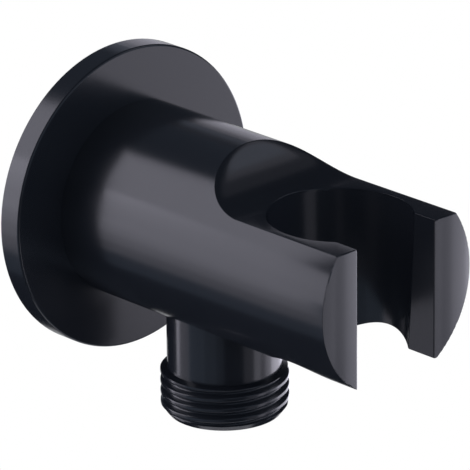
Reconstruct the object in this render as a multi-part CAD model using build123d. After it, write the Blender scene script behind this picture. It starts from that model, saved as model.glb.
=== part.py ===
from build123d import *
import math
import os

# Wall outlet elbow with a fixed cradle for the handset. All sizes are in mm.
# The origin is the centre of the flange's back, on the wall. +Z is up and -Y points into the room.

# Pipe threads, by crest and root diameter
half_inch_crest = 20.955
half_inch_root = 18.631
three_eighths_crest = 16.662
thread_lead = 1.5
thread_clearance = 0.05

# Bar and the bore that brings the water in
body_diameter = 32.65
body_reach = 63.8
inlet_bore = 11.0
drill_point_angle = 118.0

# Wall end of the bar: a register that centres the flange, then the threaded inlet spigot
register_diameter = 24.0
register_clearance = 0.1
register_shy = 0.6
inlet_reach = 13.0
inlet_relief = 1.8
inlet_mouth_chamfer = 0.8

# Wall flange and its gasket
flange_diameter = 51.0
flange_thickness = 4.1
flange_face_wall = 2.0
flange_rim_wall = 2.0
flange_hub_wall = 3.4
flange_edge_radius = 0.35
gasket_side_clearance = 0.25

# Handset cradle, cut down through the front of the bar
saddle_height = 9.7
saddle_radius = 12.9
saddle_flat = 21.7
cradle_setback = 12.35
cradle_mouth = 23.1
cradle_taper = 0.072
cradle_slot = 17.2
horn_nose_radius = 0.25
cradle_edge_radius = 0.5
edge_break = 0.15

# Outlet nipple and the port that it screws into
outlet_axis = 24.8
outlet_drop = 31.25
outlet_bore = 10.0
hose_thread_length = 9.05
neck_diameter = 18.7
neck_cone = 2.1
neck_clearance = 0.05
port_headroom = 0.5
nipple_top_clearance = 0.1
nipple_top_chamfer = 0.6
hex_socket = 12.0
hex_socket_depth = 7.0
hex_mouth_chamfer = 0.5

# O-ring in the nipple's neck
seal_section = 1.5
seal_side_clearance = 0.2
seal_squeeze_clearance = 0.02
seal_land = 0.9
seal_cover = 0.95

# A cutter reaches this far past what it cuts, and edges are told apart to this distance
overcut = 2.0
edge_tolerance = 0.02

# Worked out from the sizes above
body_radius = body_diameter / 2
inlet_bore_radius = inlet_bore / 2
outlet_bore_radius = outlet_bore / 2
crest_radius = half_inch_crest / 2
root_radius = half_inch_root / 2
register_radius = register_diameter / 2
flange_radius = flange_diameter / 2
flange_bore_radius = register_radius + register_clearance
flange_hub_radius = flange_bore_radius + flange_hub_wall
flange_rim_radius = flange_radius - flange_rim_wall
flange_recess = flange_thickness - flange_face_wall
saddle_start = body_reach - saddle_flat
cradle_axis = body_reach - cradle_setback
neck_radius = neck_diameter / 2
port_radius = neck_radius + neck_clearance
inner_thread_radius = three_eighths_crest / 2
nipple_top = -(inlet_bore_radius + nipple_top_clearance)
hex_corner_radius = hex_socket / 2 / math.cos(math.radians(30))
seal_groove_radius = port_radius - seal_section - 2 * seal_squeeze_clearance
port_mouth = -math.sqrt(body_radius**2 - port_radius**2)
seal_groove_foot = port_mouth + seal_cover
seal_groove_top = seal_groove_foot + seal_section + 2 * seal_side_clearance
port_seat = seal_groove_top + seal_land

# Outlines are drawn above the wall axis, and in front of an upright axis
upright_plane = Plane(origin=(0, 0, 0), x_dir=(0, -1, 0), z_dir=(-1, 0, 0))


# A turned solid about the wall axis, from points (distance behind the wall, radius)
def turned_on_wall_axis(points):
    outline = Plane.YZ * make_face(Polyline(*points, close=True))
    return revolve(outline, Axis.Y)


# A turned solid about an upright axis, from points (radius, height), that far out from the wall
def turned_upright(points, out_from_wall):
    outline = upright_plane * make_face(Polyline(*points, close=True))
    return Pos(0, -out_from_wall, 0) * revolve(outline, Axis.Z)


# The bar with its register and inlet spigot, as it leaves the lathe
def turned_bar():
    thread_start = inlet_relief - register_shy
    return turned_on_wall_axis(
        [
            (-body_reach, 0),
            (-body_reach, body_radius),
            (-flange_thickness, body_radius),
            (-flange_thickness, register_radius),
            (-register_shy, register_radius),
            (-register_shy, root_radius),
            (thread_start, root_radius),
            (thread_start + thread_lead, crest_radius),
            (inlet_reach - thread_lead, crest_radius),
            (inlet_reach, root_radius),
            (inlet_reach, 0),
        ]
    )


# The milled saddle: a flat to the front end, and a hollow that runs out at the top of the bar
def saddle_cutter():
    front = -(body_reach + overcut)
    top = max(saddle_height + saddle_radius, body_radius) + overcut
    flat_end = (-saddle_start, saddle_height)
    hollow_end = (saddle_radius - saddle_start, saddle_height + saddle_radius)
    hollow = TangentArc(flat_end, hollow_end, tangent=(1, 0))
    rest = Polyline(hollow_end, (hollow_end[0], top), (front, top), (front, saddle_height), flat_end)
    profile = Plane.YZ * make_face([hollow, rest])
    return extrude(profile, body_radius + overcut, both=True)


# The tapered bore that the handset's cone wedges in, and the slot that its hose passes through
def cradle_cutter():
    reach = body_radius + overcut
    foot_radius = (cradle_mouth - cradle_taper * (saddle_height + reach)) / 2
    top_radius = foot_radius + cradle_taper * reach
    bore = turned_upright(
        [(0, -reach), (foot_radius, -reach), (top_radius, reach), (0, reach)],
        cradle_axis,
    )
    slot_length = body_reach + overcut - cradle_axis
    slot = Pos(0, -cradle_axis - slot_length / 2, 0) * Box(cradle_slot, slot_length, 2 * reach)
    return bore + slot


# The blind inlet bore, with its drill point past the outlet
def inlet_cutter():
    bore_end = -(outlet_axis + inlet_bore_radius)
    drill_point = inlet_bore_radius / math.tan(math.radians(drill_point_angle / 2))
    return turned_on_wall_axis(
        [
            (inlet_reach + overcut, 0),
            (inlet_reach + overcut, inlet_bore_radius + inlet_mouth_chamfer + overcut),
            (inlet_reach - inlet_mouth_chamfer, inlet_bore_radius),
            (bore_end, inlet_bore_radius),
            (bore_end - drill_point, 0),
        ]
    )


# The port in the underside: a bored mouth for the neck, a tapped hole, and the way into the inlet bore
def port_cutter():
    below = -(body_radius + overcut)
    tapped_radius = inner_thread_radius + thread_clearance
    tapped_top = nipple_top + port_headroom
    return turned_upright(
        [
            (0, below),
            (port_radius, below),
            (port_radius, port_seat),
            (tapped_radius, port_seat),
            (tapped_radius, tapped_top),
            (outlet_bore_radius, tapped_top),
            (outlet_bore_radius, 0),
            (0, 0),
        ],
        outlet_axis,
    )


# Whether an edge lies in the bar's turned surface: its two ends and its middle do
def on_bar_surface(edge):
    spots = [edge @ 0, edge @ 0.5, edge @ 1]
    return all(abs(math.hypot(spot.X, spot.Z) - body_radius) < edge_tolerance for spot in spots)


# The edges that the saddle and the cradle leave, and the rim of the front end
def cradle_edges(bar):
    return [edge for edge in bar.edges() if edge.center().Y < saddle_radius - saddle_start]


# The horns' noses are rounded first, then the cradle's inner edges, then the edges in the bar's surface
def rounded_cradle(bar):
    front_edges = [edge for edge in bar.edges() if edge.center().Y < edge_tolerance - body_reach]
    noses = [edge for edge in front_edges if edge.center().Z > saddle_height - edge_tolerance]
    bar = fillet(noses, horn_nose_radius)
    inner_edges = [edge for edge in cradle_edges(bar) if not on_bar_surface(edge)]
    bar = fillet(inner_edges, cradle_edge_radius)
    outer_edges = [edge for edge in cradle_edges(bar) if on_bar_surface(edge)]
    return fillet([edge for edge in outer_edges if edge.length > horn_nose_radius], edge_break)


def elbow_body():
    bar = rounded_cradle(turned_bar() - saddle_cutter() - cradle_cutter())
    return bar - inlet_cutter() - port_cutter()


# A turned disc, hollow behind, with a hub that carries the bar's shoulder through to the wall
def wall_flange():
    disc = turned_on_wall_axis(
        [
            (-flange_thickness, flange_bore_radius),
            (-flange_thickness, flange_radius),
            (0, flange_radius),
            (0, flange_rim_radius),
            (-flange_recess, flange_rim_radius),
            (-flange_recess, flange_hub_radius),
            (0, flange_hub_radius),
            (0, flange_bore_radius),
        ]
    )
    rim = disc.edges().filter_by(GeomType.CIRCLE).group_by(SortBy.RADIUS)[-1]
    return fillet(rim.sort_by(Axis.Y)[0], flange_edge_radius)


# A flat rubber ring that fills the flange's hollow, level with the wall
def wall_gasket():
    inner = flange_hub_radius + gasket_side_clearance
    outer = flange_rim_radius - gasket_side_clearance
    return turned_on_wall_axis(
        [(-flange_recess, inner), (-flange_recess, outer), (0, outer), (0, inner)]
    )


# The hose connector: inner thread, shoulder, sealed neck, hose thread and a socket for a hex key
def outlet_nipple():
    thread_start = hose_thread_length - outlet_drop
    turned = turned_upright(
        [
            (outlet_bore_radius, nipple_top),
            (inner_thread_radius - nipple_top_chamfer, nipple_top),
            (inner_thread_radius, nipple_top - nipple_top_chamfer),
            (inner_thread_radius, port_seat),
            (neck_radius, port_seat),
            (neck_radius, seal_groove_top),
            (seal_groove_radius, seal_groove_top),
            (seal_groove_radius, seal_groove_foot),
            (neck_radius, seal_groove_foot),
            (neck_radius, thread_start),
            (crest_radius, thread_start - neck_cone),
            (crest_radius, thread_lead - outlet_drop),
            (root_radius, -outlet_drop),
            (outlet_bore_radius, -outlet_drop),
        ],
        outlet_axis,
    )
    hexagon = RegularPolygon(hex_socket / 2, 6, major_radius=False)
    socket = Pos(0, -outlet_axis, -outlet_drop) * extrude(hexagon, hex_socket_depth)
    mouth_slope = (hex_corner_radius - hex_socket / 2) / hex_mouth_chamfer
    mouth = turned_upright(
        [
            (0, -outlet_drop - overcut),
            (hex_corner_radius + mouth_slope * overcut, -outlet_drop - overcut),
            (hex_socket / 2, hex_mouth_chamfer - outlet_drop),
            (0, hex_mouth_chamfer - outlet_drop),
        ],
        outlet_axis,
    )
    return turned - socket - mouth


def nipple_seal():
    ring_radius = seal_groove_radius + seal_squeeze_clearance + seal_section / 2
    middle = (seal_groove_top + seal_groove_foot) / 2
    return Pos(0, -outlet_axis, middle) * Torus(ring_radius, seal_section / 2)


os.makedirs("parts", exist_ok=True)
for make in (elbow_body, wall_flange, wall_gasket, outlet_nipple, nipple_seal):
    export_step(make(), f"parts/{make.__name__}.step")
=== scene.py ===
import math

import bmesh
import bpy
from mathutils import Matrix, Vector


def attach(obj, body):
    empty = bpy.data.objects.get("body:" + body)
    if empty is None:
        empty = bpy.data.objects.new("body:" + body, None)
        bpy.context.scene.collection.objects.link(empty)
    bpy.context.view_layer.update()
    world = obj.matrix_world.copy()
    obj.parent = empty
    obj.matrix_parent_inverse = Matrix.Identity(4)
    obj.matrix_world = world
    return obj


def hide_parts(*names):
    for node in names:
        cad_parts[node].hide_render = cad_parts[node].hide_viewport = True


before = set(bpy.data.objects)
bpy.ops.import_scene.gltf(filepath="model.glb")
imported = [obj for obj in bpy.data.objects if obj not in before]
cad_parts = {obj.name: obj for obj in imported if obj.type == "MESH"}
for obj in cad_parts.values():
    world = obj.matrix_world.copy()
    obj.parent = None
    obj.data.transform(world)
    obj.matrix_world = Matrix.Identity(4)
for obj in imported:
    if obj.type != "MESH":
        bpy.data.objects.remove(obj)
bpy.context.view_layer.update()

# Wall outlet elbow with a handset cradle. Dictionaries are in mm and degrees, and mm turns them into metres.
mm = 0.001


def point(*values):
    return Vector(values) * mm


def direction(azimuth, elevation):  # azimuth 0 is straight out of the wall, 90 is to the right
    a, e = math.radians(azimuth), math.radians(elevation)
    return Vector((math.sin(a) * math.cos(e), -math.cos(a) * math.cos(e), math.sin(e)))


# Camera

photoView = {
    "azimuth": -43.764,
    "elevation": 21.34,
    "roll": -0.641,
    "lens": 373.46,
    "distance": 778.1,
    "aim": (0, -30, 0),
    "aimRight": 1.691,  # where the aim point lies in the picture, from its middle
    "aimUp": -0.330,
    "clip": 10.0,
}


def placeCamera():
    back = direction(photoView["azimuth"], photoView["elevation"])
    right = Vector((0, 0, 1)).cross(back).normalized()
    up = back.cross(right)
    roll = math.radians(photoView["roll"])
    right, up = right * math.cos(roll) + up * math.sin(roll), up * math.cos(roll) - right * math.sin(roll)
    spot = point(*photoView["aim"]) + back * photoView["distance"] * mm
    spot -= (right * photoView["aimRight"] + up * photoView["aimUp"]) * mm
    bpy.ops.object.camera_add(location=spot, rotation=Matrix((right, up, back)).transposed().to_euler())
    camera = bpy.context.object
    camera.name = "photoCamera"
    camera.data.lens = photoView["lens"]
    camera.data.clip_start = photoView["clip"] * mm
    bpy.context.scene.camera = camera


placeCamera()
print("camera placed")


# Shader nodes: Wire takes part in sums, and NodeBench adds any other node

noiseRoughness = 0.55
noiseMiddle = 0.5
mixColours = {"low": 6, "high": 7, "mixed": 2}  # which sockets of a mix node are colours


class Wire:
    def __init__(self, bench, socket):
        self.bench = bench
        self.socket = socket

    def sum(self, operation, first, second):
        return self.bench.node("ShaderNodeMath", {"operation": operation}, {0: first, 1: second})

    def __add__(self, other):
        return self.sum("ADD", self, other)

    def __radd__(self, other):
        return self.sum("ADD", other, self)

    def __sub__(self, other):
        return self.sum("SUBTRACT", self, other)

    def __mul__(self, other):
        return self.sum("MULTIPLY", self, other)


class NodeBench:
    def __init__(self, owner):
        owner.use_nodes = True
        self.tree = owner.node_tree
        self.tree.nodes.clear()

    def node(self, kind, settings=None, sockets=None, output=0):
        made = self.tree.nodes.new(kind)
        for name, value in (settings or {}).items():
            setattr(made, name, value)
        for name, value in (sockets or {}).items():
            if isinstance(value, Wire):
                self.tree.links.new(value.socket, made.inputs[name])
            else:
                made.inputs[name].default_value = value
        return Wire(self, made.outputs[output]) if made.outputs else None

    def place(self):
        return self.node("ShaderNodeTexCoord", output="Object")

    def noise(self, place, size, detail=2.0):  # size of one patch, in mm
        sockets = {"Vector": place, "Scale": 1 / (size * mm), "Detail": detail, "Roughness": noiseRoughness}
        return self.node("ShaderNodeTexNoise", {}, sockets)

    def between(self, low, high, amount):  # colour that runs from low to high
        sockets = {"Factor": amount, mixColours["low"]: (*low, 1), mixColours["high"]: (*high, 1)}
        return self.node("ShaderNodeMix", {"data_type": "RGBA"}, sockets, output=mixColours["mixed"])

    def bump(self, height, depth):
        return self.node("ShaderNodeBump", {}, {"Height": height, "Distance": depth * mm, "Strength": 1.0})


# Black coat on brass: smooth and satin, a little uneven in gloss, with a trace of orange peel

coatLook = {
    "black": (0.0084, 0.0101, 0.0145),
    "paleBlack": (0.0100, 0.0118, 0.0160),
    "shadePatch": 9.0,
    "gloss": 0.19,
    "glossSpread": 0.05,
    "glossPatch": 3.5,
    "grainPatch": 0.16,
    "peelPatch": 1.6,
    "peelDepth": 0.0012,
    "ior": 1.5,
}


def makeCoat():
    look = coatLook
    material = bpy.data.materials.new("satinBlackCoat")
    bench = NodeBench(material)
    place = bench.place()
    shade = bench.noise(place, look["shadePatch"])
    cloud = bench.noise(place, look["glossPatch"], detail=3.0)
    grain = bench.noise(place, look["grainPatch"], detail=1.0)
    spread = look["glossSpread"]
    rough = look["gloss"] + (cloud - noiseMiddle) * spread + (grain - noiseMiddle) * spread
    peel = bench.noise(place, look["peelPatch"])
    surface = bench.node(
        "ShaderNodeBsdfPrincipled",
        {},
        {
            "Base Color": bench.between(look["black"], look["paleBlack"], shade),
            "Roughness": rough,
            "IOR": look["ior"],
            "Normal": bench.bump(peel, look["peelDepth"]),
        },
    )
    bench.node("ShaderNodeOutputMaterial", {}, {"Surface": surface})
    return material


# Moulded rubber of the gasket and the O-ring

rubberLook = {
    "black": (0.012, 0.012, 0.013),
    "bloom": (0.030, 0.030, 0.032),
    "bloomPatch": 2.2,
    "dull": 0.52,
    "dullSpread": 0.2,
    "grainPatch": 0.22,
    "grainDepth": 0.012,
}


def makeRubber():
    look = rubberLook
    material = bpy.data.materials.new("mouldedRubber")
    bench = NodeBench(material)
    place = bench.place()
    bloom = bench.noise(place, look["bloomPatch"], detail=4.0)
    grain = bench.noise(place, look["grainPatch"])
    surface = bench.node(
        "ShaderNodeBsdfPrincipled",
        {},
        {
            "Base Color": bench.between(look["black"], look["bloom"], bloom),
            "Roughness": look["dull"] + (bloom - noiseMiddle) * look["dullSpread"],
            "Normal": bench.bump(grain, look["grainDepth"]),
        },
    )
    bench.node("ShaderNodeOutputMaterial", {}, {"Surface": surface})
    return material


def dress(piece, material):
    piece.data.materials.clear()
    piece.data.materials.append(material)


coat = makeCoat()
rubber = makeRubber()
print("materials made")


# Modelling helpers: a turned shape is an outline of (radius, height), spun about the upright axis

turnSteps = 128
weld = 1e-6
smoothAngle = 32


def pick(piece):
    bpy.ops.object.select_all(action="DESELECT")
    piece.select_set(True)
    bpy.context.view_layer.objects.active = piece


def openMesh(piece):
    pick(piece)
    bpy.ops.object.mode_set(mode="EDIT")
    bpy.ops.mesh.select_all(action="SELECT")


def closeMesh():
    bpy.ops.object.mode_set(mode="OBJECT")


def drawOutline(name, outline):
    bpy.ops.mesh.primitive_plane_add(size=mm)
    piece = bpy.context.object
    piece.name = name
    openMesh(piece)
    bpy.ops.mesh.merge(type="CENTER")  # the plane becomes one vertex, which draws the outline
    radius, height = outline[0]
    bpy.ops.transform.translate(value=point(radius, 0, height))
    for nextRadius, nextHeight in outline[1:]:
        step = point(nextRadius - radius, 0, nextHeight - height)
        bpy.ops.mesh.extrude_region_move(TRANSFORM_OT_translate={"value": step})
        radius, height = nextRadius, nextHeight
    closeMesh()
    return piece


def turnOutline(name, outline):
    piece = drawOutline(name, outline)
    openMesh(piece)
    bpy.ops.mesh.spin(steps=turnSteps, angle=2 * math.pi, center=(0, 0, 0), axis=(0, 0, 1))
    bpy.ops.mesh.select_all(action="SELECT")
    bpy.ops.mesh.remove_doubles(threshold=weld)
    closeMesh()
    return piece


def applyModifier(piece, kind, **settings):
    pick(piece)
    modifier = piece.modifiers.new(kind.lower(), kind)
    for name, value in settings.items():
        setattr(modifier, name, value)
    bpy.ops.object.modifier_apply(modifier=modifier.name)


def joinPieces(piece, other):
    pick(piece)
    other.select_set(True)
    bpy.ops.object.join()


def bridgeRims(piece, wanted):  # open rims whose edges pass the test are joined by faces
    openMesh(piece)
    bpy.ops.mesh.select_mode(type="EDGE")
    mesh = bmesh.from_edit_mesh(piece.data)
    for edge in mesh.edges:
        middle = (edge.verts[0].co + edge.verts[1].co) / 2 / mm
        edge.select_set(edge.is_boundary and wanted(middle))
    bmesh.update_edit_mesh(piece.data)
    bpy.ops.mesh.bridge_edge_loops()
    bpy.ops.mesh.select_mode(type="VERT")
    closeMesh()


def cutRows(piece, wanted, across, places):  # faces whose corners all pass the test are cut at each place
    for place in places:
        openMesh(piece)
        bpy.ops.mesh.select_mode(type="FACE")
        mesh = bmesh.from_edit_mesh(piece.data)
        for face in mesh.faces:
            face.select_set(all(wanted(corner.co / mm) for corner in face.verts))
        bmesh.update_edit_mesh(piece.data)
        bpy.ops.mesh.bisect(plane_co=across * place * mm, plane_no=across, threshold=weld)
        bpy.ops.mesh.select_mode(type="VERT")
        closeMesh()


def closeSkin(piece):
    openMesh(piece)
    bpy.ops.mesh.normals_make_consistent(inside=False)
    closeMesh()


def placeTurned(piece, tilt, spot):  # a turned shape is tilted about X, moved, and its place goes into its mesh
    pick(piece)
    piece.rotation_euler = (math.radians(tilt), 0, 0)
    piece.location = point(*spot)
    bpy.ops.object.transform_apply(location=True, rotation=True, scale=True)


# Pipe threads with 55 degree flanks, rounded at crest and root, cut into a turned blank

halfInchThread = {"pitch": 1.814, "crest": 10.4775, "root": 9.3155, "flank": 27.5, "round": 0.249}
threeEighthsThread = {"pitch": 1.337, "crest": 8.331, "root": 7.475, "flank": 27.5, "round": 0.184}
threadRow = 0.06  # height of one row of faces along a thread


def grooveDepth(thread, away, land):  # below the crest, at a distance along the axis from the crest's middle
    corner, half, bend = thread["round"], thread["pitch"] / 2, math.radians(90 - thread["flank"])
    away = max(0.0, away - land / 2) * half / (half - land / 2)
    bow = corner * math.sin(bend)
    if away < bow:
        return corner - math.sqrt(corner**2 - away**2)
    if away > half - bow:
        return thread["crest"] - thread["root"] - corner + math.sqrt(corner**2 - (half - away) ** 2)
    return corner * (1 - math.cos(bend)) + (away - bow) * math.tan(bend)


def blankOutline(thread, blank):  # shoulder, cone, crest and lead, in rows
    crest, root = thread["crest"], thread["root"]
    rows = math.ceil((blank["end"] - blank["start"]) / threadRow)
    outline = []
    for k in range(rows + 1):
        height = blank["start"] + (blank["end"] - blank["start"]) * k / rows
        cone = blank["shoulder"] + (crest - blank["shoulder"]) * (height - blank["start"]) / blank["cone"]
        lead = root + (crest - root) * (blank["end"] - height) / blank["lead"]
        outline.append((min(cone, lead, crest), height))
    return outline


def cutThread(piece, thread, blank, turn=0.0):  # the groove fades out over one pitch at the cone
    pitch, crest = thread["pitch"], thread["crest"]
    fadeEnd = blank["start"] + blank["cone"] + blank["fade"]
    for vertex in piece.data.vertices:
        height = vertex.co.z / mm
        radius = math.hypot(vertex.co.x, vertex.co.y) / mm
        if not blank["start"] <= height <= blank["end"] or radius < thread["root"]:
            continue
        angle = math.atan2(vertex.co.y, vertex.co.x)
        away = abs((height / pitch - angle / (2 * math.pi) - turn + 0.5) % 1.0 - 0.5) * pitch
        faded = max(0.0, min(1.0, (fadeEnd - height) / pitch))
        groove = crest - grooveDepth(thread, away, blank["land"]) * blank["depth"] * (1 - faded)
        if groove < radius:
            vertex.co.x *= groove / radius
            vertex.co.y *= groove / radius


# Hose nipple: heights are below the wall axis

nippleSize = {
    "out": 24.8,
    "top": 5.6,
    "bore": 5.0,
    "seat": 9.597,
    "neck": 9.35,
    "grooveTop": 10.497,
    "grooveFoot": 12.397,
    "groove": 7.86,
    "threadTurn": 0.66,
    "hexSides": 6,
    "hexSocket": 12.0,
    "hexDepth": 7.0,
    "hexMouth": 0.5,
    "mouthReach": 1.0,  # how far the countersink's cutter stands out of the end
    "end": 31.25,
    "tilt": 180,
}
hoseBlank = {
    "start": 23.4,
    "end": 31.25,
    "shoulder": 9.35,
    "cone": 0.3,
    "lead": 1.5,
    "fade": 0.5,
    "depth": 0.6,  # share of the full groove that the coat leaves
    "land": 0.35,
}
innerBlank = {
    "start": 5.6,
    "end": 9.397,
    "shoulder": 7.475,
    "cone": 0.6,
    "lead": 0.6,
    "fade": -0.6,
    "depth": 1.0,
    "land": 0.0,
}


def makeNipple():
    size = nippleSize
    outline = [(size["bore"], size["end"]), (size["bore"], size["top"])]
    outline += blankOutline(threeEighthsThread, innerBlank)
    outline += [
        (threeEighthsThread["root"], size["seat"]),
        (size["neck"], size["seat"]),
        (size["neck"], size["grooveTop"]),
        (size["groove"], size["grooveTop"]),
        (size["groove"], size["grooveFoot"]),
        (size["neck"], size["grooveFoot"]),
    ]
    outline += blankOutline(halfInchThread, hoseBlank)
    body = turnOutline("hoseNipple", outline + outline[:1])
    cutThread(body, threeEighthsThread, innerBlank)
    cutThread(body, halfInchThread, hoseBlank, size["threadTurn"])
    closeSkin(body)
    # hex socket for the key, and its countersunk mouth
    corner = size["hexSocket"] / 2 / math.cos(math.pi / size["hexSides"])
    mouthReach = size["mouthReach"]
    slope = (corner - size["hexSocket"] / 2) / size["hexMouth"]
    bpy.ops.mesh.primitive_cylinder_add(
        vertices=size["hexSides"],
        radius=corner * mm,
        depth=2 * size["hexDepth"] * mm,
        location=point(0, 0, size["end"]),
    )
    hexCutter = bpy.context.object
    bpy.ops.mesh.primitive_cone_add(
        vertices=turnSteps,
        radius1=size["hexSocket"] / 2 * mm,
        radius2=(corner + slope * mouthReach) * mm,
        depth=(size["hexMouth"] + mouthReach) * mm,
        location=point(0, 0, size["end"] + (mouthReach - size["hexMouth"]) / 2),
    )
    mouthCutter = bpy.context.object
    for cutter in (hexCutter, mouthCutter):
        applyModifier(body, "BOOLEAN", operation="DIFFERENCE", object=cutter, solver="EXACT")
        bpy.data.objects.remove(cutter)
    placeTurned(body, size["tilt"], (0, -size["out"], 0))
    bpy.ops.object.shade_smooth_by_angle(angle=math.radians(smoothAngle))
    return body


nipple = makeNipple()
dress(nipple, coat)
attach(nipple, "root")
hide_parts("outlet_nipple")
print("nipple modelled", len(nipple.data.polygons), "faces")


# Bar: the CAD shape, with its plain inlet spigot taken off in the relief groove and a threaded one put on

spigotSize = {
    "cut": 0.3,
    "rim": 0.2,
    "end": 13.0,
    "bore": 5.5,
    "mouthChamfer": 0.8,
    "tilt": -90,
}
inletBlank = {
    "start": 1.2,
    "end": 13.0,
    "shoulder": 9.3155,
    "cone": 1.5,
    "lead": 1.5,
    "fade": 0.0,
    "depth": 1.0,
    "land": 0.0,
}

# Polishing before the coat leaves end faces, bar side, hollow and cradle mouth a little rounded. Only the normals
# say so: the shape is the CAD's.
polish = {
    "front": -63.8,
    "radius": 16.325,
    "start": -52.0,
    "sideLean": 5.5,
    "sideFade": 1.3,
    "inner": 8.6,
    "outer": 16.2,
    "innerLean": 9.0,
    "outerLean": 11.0,
    "rows": 5,
    "near": 0.02,
    "keptLength": 0.5,  # a corner whose kept normal is shorter than this is not the CAD's
    "edge": -63.25,  # broken edges of the end faces lie beyond this, and shine with the face
    "keptEdge": -10.0,  # right of this, the near horn's edge keeps its own roundness
    "cradle": -51.45,
    "mouthReach": 12.2,  # the cradle's mouth edge lies within this of its axis, or of the slot's middle
    "slotReach": 9.4,
    "mouthHeights": (9.05, 9.95),
    "mouthLean": 0.1,  # normals that lean up by more than this are on the edge, and turn upright at the next value
    "mouthTurn": 0.7,
    "mouthRoll": 4.5,  # the flat leans towards the cradle by this at its mouth
    "hollow": (-42.1, 22.6),  # axis of the saddle's hollow
    "hollowRadius": 12.9,
    "hollowSkin": 0.06,
    "hollowNear": 0.3,  # the hollow's rounded edge lies within this of it
    "hollowReach": 1.75,  # how far below the bar's side the hollow's edge rolls over
    "hollowLean": 0.39,
    "hollowFade": 1.5,
    "hollowRise": 4.0,  # over this height above the flat the rolled edge comes in
    "hollowSide": 13,
}


def onEndFace(spot):
    return abs(spot.y - polish["front"]) < polish["near"]


def offHollow(spot):
    y, z = polish["hollow"]
    return abs(math.hypot(spot.y - y, spot.z - z) - polish["hollowRadius"]) if spot.y > y else polish["radius"]


def onHollow(spot):
    return offHollow(spot) < polish["hollowSkin"]


def saddleNormal(spot):  # upright on the flat
    y, z = polish["hollow"]
    return Vector((0, min(0, y - spot.y), z - spot.z)).normalized()


def onBarSide(spot):
    return abs(math.hypot(spot.x, spot.z) - polish["radius"]) < polish["near"]


def polishRows(piece):
    look = polish
    steps = [(k + 1) / (look["rows"] + 1) for k in range(look["rows"])]
    across = [look["inner"] + (look["outer"] - look["inner"]) * step for step in steps]
    cutRows(piece, onEndFace, Vector((1, 0, 0)), [-place for place in across] + across)
    along = [look["start"] + (look["front"] - look["start"]) * step for step in [0.0] + steps]
    cutRows(piece, onBarSide, Vector((0, 1, 0)), along)
    cutRows(piece, onHollow, Vector((1, 0, 0)), range(-look["hollowSide"], look["hollowSide"] + 1))


def polishedNormal(spot, normal, endFace):
    look = polish
    brokenEdge = spot.y < look["edge"] and normal.y < -look["near"] and not look["keptEdge"] < spot.x < 0
    if endFace or (brokenEdge and abs(normal.z) < abs(normal.x)):
        share = (abs(spot.x) - look["inner"]) / (look["outer"] - look["inner"])
        lean = math.radians(-look["innerLean"] + (look["innerLean"] + look["outerLean"]) * share)
        return Vector((math.copysign(math.sin(lean), spot.x * lean), -math.cos(lean), 0))
    if onBarSide(spot) and spot.y < look["start"] and abs(normal.y) < look["near"]:
        share = (spot.y - look["start"]) / (look["front"] - look["start"])
        lean = math.radians(look["sideLean"]) * share ** look["sideFade"]
        return (normal + Vector((0, -math.tan(lean), 0))).normalized()
    radial = Vector((spot.x, 0, spot.z))
    share = 1 - (look["radius"] - radial.length) / look["hollowReach"]
    if share > 0 and normal.y < -look["near"] and offHollow(spot) < look["hollowNear"]:
        rise = spot.z - look["hollow"][1] + look["hollowRadius"]
        lean = look["hollowLean"] * share ** look["hollowFade"] * min(1, max(0, rise / look["hollowRise"]))
        return normal.lerp(radial.normalized(), lean).normalized()
    low, high = look["mouthHeights"]
    inBore = math.hypot(spot.x, spot.y - look["cradle"]) < look["mouthReach"]
    inSlot = spot.y < look["cradle"] and abs(spot.x) < look["slotReach"]
    if low < spot.z < high and (inBore or inSlot) and normal.z > look["mouthLean"]:
        if normal.z < look["mouthTurn"]:
            return Vector((normal.x, normal.y, 0)).normalized()
        inward = Vector((-spot.x, min(0, look["cradle"] - spot.y), 0)).normalized()
        return (saddleNormal(spot) + inward * math.tan(math.radians(look["mouthRoll"]))).normalized()
    return normal


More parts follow.
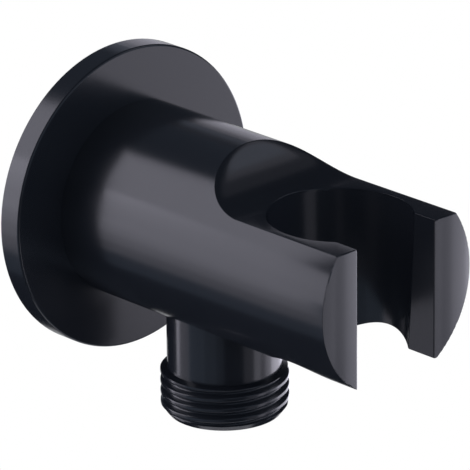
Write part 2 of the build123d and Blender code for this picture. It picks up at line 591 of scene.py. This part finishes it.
def makeBar():
    size = spigotSize
    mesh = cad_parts["elbow_body"].data.copy()
    bar = bpy.data.objects.new("elbowBar", mesh)
    bpy.context.scene.collection.objects.link(bar)
    # the CAD's own normals are kept on the corners while the mesh is changed
    kept = mesh.attributes.new("turnedNormal", "FLOAT_VECTOR", "CORNER")
    for corner, normal in zip(kept.data, mesh.corner_normals):
        corner.vector = normal.vector
    openMesh(bar)
    bpy.ops.mesh.remove_doubles(threshold=weld)
    bpy.ops.mesh.select_all(action="SELECT")
    bpy.ops.mesh.bisect(plane_co=point(0, size["cut"], 0), plane_no=(0, 1, 0), threshold=weld, clear_outer=True)
    closeMesh()
    polishRows(bar)
    joint = size["cut"] + size["rim"]
    outline = [(size["bore"], joint), (size["bore"], size["end"] - size["mouthChamfer"])]
    outline += [(size["bore"] + size["mouthChamfer"], size["end"])]
    outline += reversed(blankOutline(halfInchThread, inletBlank))
    spigot = turnOutline("inletSpigot", outline + [(halfInchThread["root"], joint)])
    cutThread(spigot, halfInchThread, inletBlank)
    closeSkin(spigot)
    placeTurned(spigot, size["tilt"], (0, 0, 0))
    joinPieces(bar, spigot)
    middle = (halfInchThread["root"] + size["bore"]) / 2
    bridgeRims(bar, lambda p: math.hypot(p.x, p.z) > middle)
    bridgeRims(bar, lambda p: math.hypot(p.x, p.z) < middle)
    bpy.ops.object.shade_smooth_by_angle(angle=math.radians(smoothAngle))
    bpy.ops.mesh.customdata_custom_splitnormals_clear()
    mesh = bar.data
    kept = mesh.attributes["turnedNormal"].data
    normals = [Vector(smooth.vector) for smooth in mesh.corner_normals]
    for face in mesh.polygons:
        endFace = all(onEndFace(mesh.vertices[k].co / mm) for k in face.vertices)
        for k in face.loop_indices:
            own = Vector(kept[k].vector)
            if own.length > polish["keptLength"]:
                spot = mesh.vertices[mesh.loops[k].vertex_index].co / mm
                normals[k] = polishedNormal(spot, own.normalized(), endFace)
    mesh.attributes.remove(mesh.attributes["turnedNormal"])
    mesh.normals_split_custom_set(normals)
    return bar


bar = makeBar()
dress(bar, coat)
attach(bar, "root")
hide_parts("elbow_body")
print("bar modelled", len(bar.data.polygons), "faces")

for nodeName, material in (("wall_flange", coat), ("wall_gasket", rubber), ("nipple_seal", rubber)):
    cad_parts[nodeName].material_slots[0].material = material
print("flange, gasket and seal dressed")


# Stage: pale floor well below, white card behind, soft boxes all round and a dim room

studio = {
    "middle": (0, -30, 0),
    "floorDrop": 420.0,
    "floorSize": 380.0,
    "floorColour": (0.82, 0.82, 0.83),
    "floorShade": 0.97,
    "floorGrain": 40.0,
    "cardAway": 1600.0,
    "cardSize": (1200.0, 900.0),
    "cardAzimuth": 136.2,
    "cardElevation": -21.2,
    "cardMirrored": 0.05,  # share of the white card that the coat mirrors
    "room": (0.006, 0.008, 0.012),
    "roomMirrored": 0.002,
    "roomLit": 0.5,  # share of white walls that soft light comes from
    "boxAway": 800.0,
    "white": (0.885, 0.865, 1.0),
    "blue": (0.62, 0.76, 1.0),
}
softBoxes = (
    {"name": "leftHigh", "azimuth": -143, "elevation": 36.1, "size": (440, 446), "bright": 2.5, "tint": "white"},
    {"name": "leftBox", "azimuth": -147, "elevation": 11.5, "size": (311, 239), "bright": 3.75, "tint": "white"},
    {"name": "leftSide", "azimuth": -124, "elevation": 11.5, "size": (340, 239), "bright": 2.35, "tint": "white"},
    {"name": "leftBoxLow", "azimuth": -147, "elevation": -2.5, "size": (311, 154), "bright": 3.4, "tint": "white"},
    {"name": "leftSideLow", "azimuth": -124, "elevation": -2.5, "size": (340, 154), "bright": 2.15, "tint": "white"},
    {"name": "leftFootA", "azimuth": -137, "elevation": -11, "size": (464, 84), "bright": 1.95, "tint": "white"},
    {"name": "leftFootB", "azimuth": -137, "elevation": -17.5, "size": (464, 98), "bright": 1.3, "tint": "white"},
    {"name": "leftFootC", "azimuth": -137, "elevation": -25, "size": (464, 112), "bright": 0.7, "tint": "white"},
    {"name": "leftFootD", "azimuth": -135, "elevation": -34.5, "size": (640, 154), "bright": 0.2, "tint": "blue"},
    {"name": "leftEdge", "azimuth": -149, "elevation": -19.5, "size": (115, 150), "bright": 2.3, "tint": "white"},
    {"name": "leftSkirtA", "azimuth": -104, "elevation": -20, "size": (460, 340), "bright": 0.38, "tint": "blue"},
    {"name": "leftSkirtB", "azimuth": -75, "elevation": -20, "size": (340, 340), "bright": 0.30, "tint": "blue"},
    {"name": "leftSkirtC", "azimuth": -54, "elevation": -20, "size": (230, 340), "bright": 0.19, "tint": "blue"},
    {"name": "leftSpill", "azimuth": -92, "elevation": -40, "size": (900, 250), "bright": 0.12, "tint": "blue"},
    {"name": "frontEdge", "azimuth": 7, "elevation": -19, "size": (320, 350), "bright": 0.36, "tint": "white"},
    {"name": "frontStep", "azimuth": 25.5, "elevation": -19, "size": (200, 350), "bright": 1.5, "tint": "white"},
    {"name": "frontRise", "azimuth": 56, "elevation": -16.5, "size": (265, 270), "bright": 0.8, "tint": "white"},
    {"name": "frontBox", "azimuth": 58, "elevation": -16.5, "size": (720, 270), "bright": 1.3, "tint": "white"},
    {"name": "rightBox", "azimuth": 96, "elevation": -19, "size": (905, 400), "bright": 2.5, "tint": "white"},
    {"name": "frontFill", "azimuth": 10.6, "elevation": 25.7, "size": (2000, 984), "bright": 0.4, "tint": "blue"},
    {"name": "rampBox", "azimuth": 58, "elevation": 39, "size": (380, 280), "bright": 0.55, "tint": "white"},
    {"name": "rampTail", "azimuth": 82, "elevation": 46, "size": (300, 260), "bright": 0.16, "tint": "white"},
    {"name": "backFill", "azimuth": 160, "elevation": 14, "size": (628, 429), "bright": 0.2, "tint": "blue"},
    {"name": "backHigh", "azimuth": 168, "elevation": 42, "size": (560, 300), "bright": 0.1, "tint": "blue"},
    {"name": "rimFill", "azimuth": 137, "elevation": 5.4, "size": (480, 297), "bright": 0.75, "tint": "white"},
    {"name": "barTop", "azimuth": 140.2, "elevation": 23.05, "size": (36, 22.4), "bright": 0.22, "tint": "white",
     "away": 170.6},
    {"name": "barTopHigh", "azimuth": 141.8, "elevation": 31.6, "size": (40, 29.4), "bright": 0.085, "tint": "white",
     "away": 172.5},
    {"name": "lowFill", "azimuth": 35, "elevation": -50, "size": (1309, 245), "bright": 0.45, "tint": "blue"},
)


def seenBehind(bench, mirrored, lit=0.0):  # how much of the white each kind of ray sees
    camera = bench.node("ShaderNodeLightPath", output="Is Camera Ray")
    glossy = bench.node("ShaderNodeLightPath", output="Is Glossy Ray")
    through = bench.node("ShaderNodeLightPath", output="Is Transmission Ray")
    soft = bench.node("ShaderNodeLightPath", output="Is Diffuse Ray")
    return camera + glossy * mirrored + through + soft * lit


def makeStage():
    look = studio
    middle = point(*look["middle"])
    bpy.ops.mesh.primitive_plane_add(size=look["floorSize"] * mm, location=middle - point(0, 0, look["floorDrop"]))
    floor = bpy.context.object
    floor.name = "paleFloor"
    pale = bpy.data.materials.new("paleFloor")
    bench = NodeBench(pale)
    grain = bench.noise(bench.place(), look["floorGrain"])
    low = [look["floorShade"] * value for value in look["floorColour"]]
    surface = bench.node("ShaderNodeBsdfDiffuse", {}, {"Color": bench.between(low, look["floorColour"], grain)})
    bench.node("ShaderNodeOutputMaterial", {}, {"Surface": surface})
    floor.data.materials.append(pale)
    away = direction(look["cardAzimuth"], look["cardElevation"])
    bpy.ops.mesh.primitive_plane_add(
        size=mm,
        location=middle + away * look["cardAway"] * mm,
        rotation=(-away).to_track_quat("Z", "Y").to_euler(),
    )
    card = bpy.context.object
    card.name = "whiteCard"
    card.scale = (*look["cardSize"], 1)
    white = bpy.data.materials.new("whiteCard")
    bench = NodeBench(white)
    paper = bench.node("ShaderNodeBsdfDiffuse", {}, {"Color": (*look["floorColour"], 1)})
    glow = bench.node("ShaderNodeEmission", {}, {"Color": (1, 1, 1, 1), "Strength": 1.0})
    share = seenBehind(bench, look["cardMirrored"])
    surface = bench.node("ShaderNodeMixShader", {}, {0: share, 1: paper, 2: glow})
    bench.node("ShaderNodeOutputMaterial", {}, {"Surface": surface})
    card.data.materials.append(white)
    for box in softBoxes:
        away = direction(box["azimuth"], box["elevation"])
        bpy.ops.object.light_add(
            type="AREA",
            location=middle + away * box.get("away", look["boxAway"]) * mm,
            rotation=away.to_track_quat("Z", "Y").to_euler(),
        )
        lamp = bpy.context.object
        lamp.name = box["name"]
        lamp.visible_camera = False
        lamp.data.shape = "RECTANGLE"
        lamp.data.size = box["size"][0] * mm
        lamp.data.size_y = box["size"][1] * mm
        lamp.data.color = look[box["tint"]]
        lamp.data.energy = box["bright"] * math.pi * lamp.data.size * lamp.data.size_y
    world = bpy.data.worlds.new("dimRoom")
    bpy.context.scene.world = world
    bench = NodeBench(world)
    room = bench.node("ShaderNodeBackground", {}, {"Color": (*look["room"], 1), "Strength": 1.0})
    white = bench.node("ShaderNodeBackground", {}, {"Color": (1, 1, 1, 1), "Strength": 1.0})
    share = seenBehind(bench, look["roomMirrored"], look["roomLit"])
    surface = bench.node("ShaderNodeMixShader", {}, {0: share, 1: room, 2: white})
    bench.node("ShaderNodeOutputWorld", {}, {"Surface": surface})
    bpy.context.scene.view_settings.view_transform = "Standard"


makeStage()
print("stage lit")
